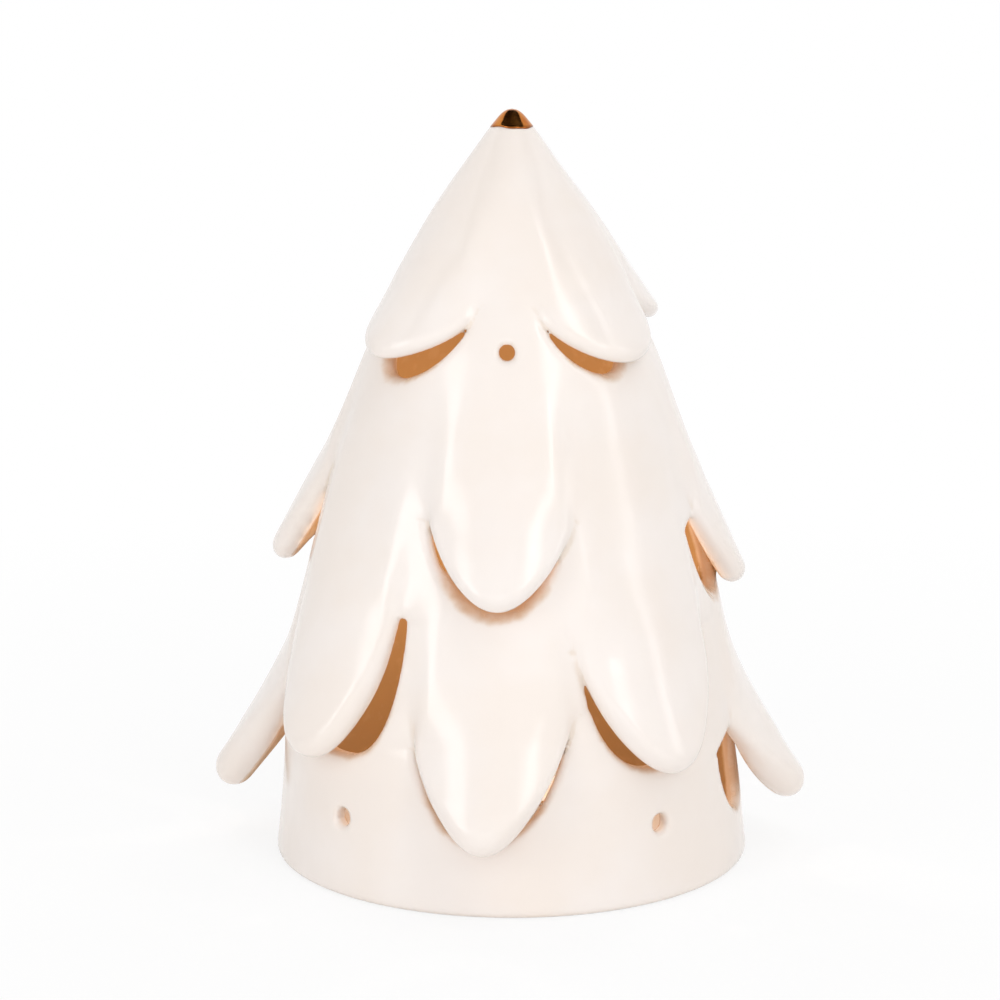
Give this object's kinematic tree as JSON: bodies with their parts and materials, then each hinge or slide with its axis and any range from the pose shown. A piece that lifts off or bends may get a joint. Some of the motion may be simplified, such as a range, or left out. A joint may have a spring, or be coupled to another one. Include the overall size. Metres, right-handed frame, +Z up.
{
  "type": "christmas tree tealight holder",
  "caption": "Hollow glazed ceramic tree with slit-cut drooping boughs and a gold tip, standing over a tealight that glows through it.",
  "frame": {"origin": "on the table, at the centre of the tealight's base, which is also the centre of the tree's foot", "axes": "+Z up along the tree, -Y towards the viewer of the picture, +X to that viewer's right"},
  "size_m": [0.1517, 0.1433, 0.185],
  "materials": {
    "cream_glaze": "gloss",
    "gold_lustre": "polished",
    "bright_aluminium": "satin",
    "white_wax": "satin",
    "waxed_cotton": "matte",
    "tinplate": "satin"
  },
  "bodies": {
    "tealight": {"tealight_cup": "bright_aluminium", "tealight_wax": "white_wax", "tealight_wick": "waxed_cotton", "wick_sustainer": "tinplate"},
    "tree": {"tree_shell": "cream_glaze", "gold_tip": "gold_lustre"}
  },
  "joints": [
    {"name": "tree_lift", "type": "slide", "parent": "tealight", "child": "tree", "axis": [0, 0, 1], "range_m": [0, 0.2]}
  ]
}
